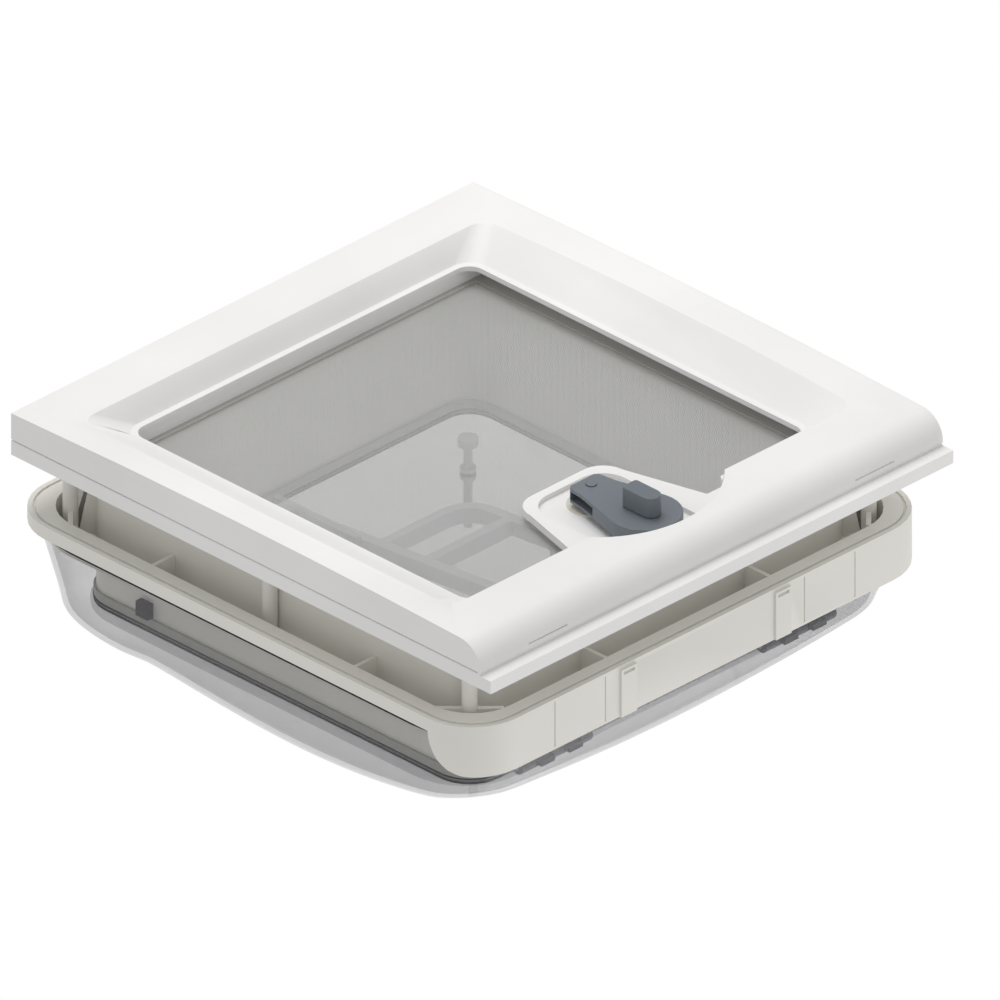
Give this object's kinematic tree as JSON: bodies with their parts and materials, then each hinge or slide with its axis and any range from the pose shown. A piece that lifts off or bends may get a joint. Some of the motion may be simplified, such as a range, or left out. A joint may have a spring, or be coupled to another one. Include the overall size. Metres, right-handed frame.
{
  "type": "caravan roof vent",
  "caption": "Square crank-operated caravan roof vent with clear hinged dome, worm-driven lift lever, fly screen and white inside trim.",
  "frame": {"origin": "centre of the roof opening, on the roof's outer face where the frame's rim rests", "axes": "+Z out of the roof towards the dome, -Y towards the hinges and the crank, +X across"},
  "size_m": [0.314, 0.3285, 0.1436],
  "materials": {
    "frame_plastic": "satin moulded plastic",
    "black_rubber": "matt",
    "dark_plastic": "satin",
    "steel": "bright",
    "trim_white": "satin white plastic",
    "trim_beige": "satin",
    "screen_plastic": "satin",
    "net_fabric": "fine woven net",
    "gear_plastic": "satin",
    "clear_acrylic": "clear, lightly tinted",
    "brass": "machined",
    "nylon": "natural",
    "crank_grey": "satin blue-grey"
  },
  "bodies": {
    "frame": {"roof_frame": "frame_plastic", "curb": "frame_plastic", "weather_lip": "black_rubber", "dome_seal": "black_rubber", "dome_buffers": "black_rubber", "hinge_brackets": "dark_plastic", "hinge_pins": "steel", "hinge_screws": "steel", "clamp_screws": "steel", "trim_base": "trim_white", "trim_cover": "trim_white", "trim_clips": "steel", "crank_bezel": "trim_beige", "screen_frame": "screen_plastic", "fly_net": "net_fabric", "gearbox_left": "gear_plastic", "gearbox_right": "gear_plastic", "case_screws": "steel", "lever_bushes": "brass", "worm_bushes": "brass"},
    "dome": {"dome_shell": "clear_acrylic", "inner_pane": "clear_acrylic", "pane_studs": "gear_plastic", "dome_hinges": "dark_plastic", "lift_rail": "gear_plastic", "rail_screws": "steel"},
    "lever": {"lift_lever": "gear_plastic", "lever_shaft": "steel", "worm_sector": "nylon", "lift_pin": "steel", "shaft_rings": "steel"},
    "roller": {"lift_roller": "nylon"},
    "crank": {"crank_shaft": "steel", "worm": "brass", "crank_arm": "crank_grey", "crank_screw": "crank_grey", "knob_pin": "steel"},
    "knob": {"crank_knob": "crank_grey"}
  },
  "joints": [
    {"name": "dome_hinge", "type": "hinge", "parent": "frame", "child": "dome", "pos_m": [0, -0.1375, 0.044], "axis": [1, 0, 0], "range_deg": [0, 45]},
    {"name": "lever_lift", "type": "hinge", "parent": "frame", "child": "lever", "pos_m": [0, -0.106, 0.012], "axis": [1, 0, 0], "range_deg": [0, 49.5]},
    {"name": "roller_spin", "type": "hinge", "parent": "lever", "child": "roller", "pos_m": [0.0348, 0.085, 0.03], "axis": [1, 0, 0], "continuous": true},
    {"name": "crank_turn", "type": "hinge", "parent": "frame", "child": "crank", "pos_m": [0, -0.082, -0.04], "axis": [0, 0, 1], "range_deg": [0, 891]},
    {"name": "knob_spin", "type": "hinge", "parent": "crank", "child": "knob", "pos_m": [0, -0.117, -0.05], "axis": [0, 0, 1], "continuous": true}
  ],
  "couplings": [
    {"joint": "lever_lift", "follows": "dome_hinge", "ratio": 1.1},
    {"joint": "crank_turn", "follows": "dome_hinge", "ratio": 19.8}
  ]
}
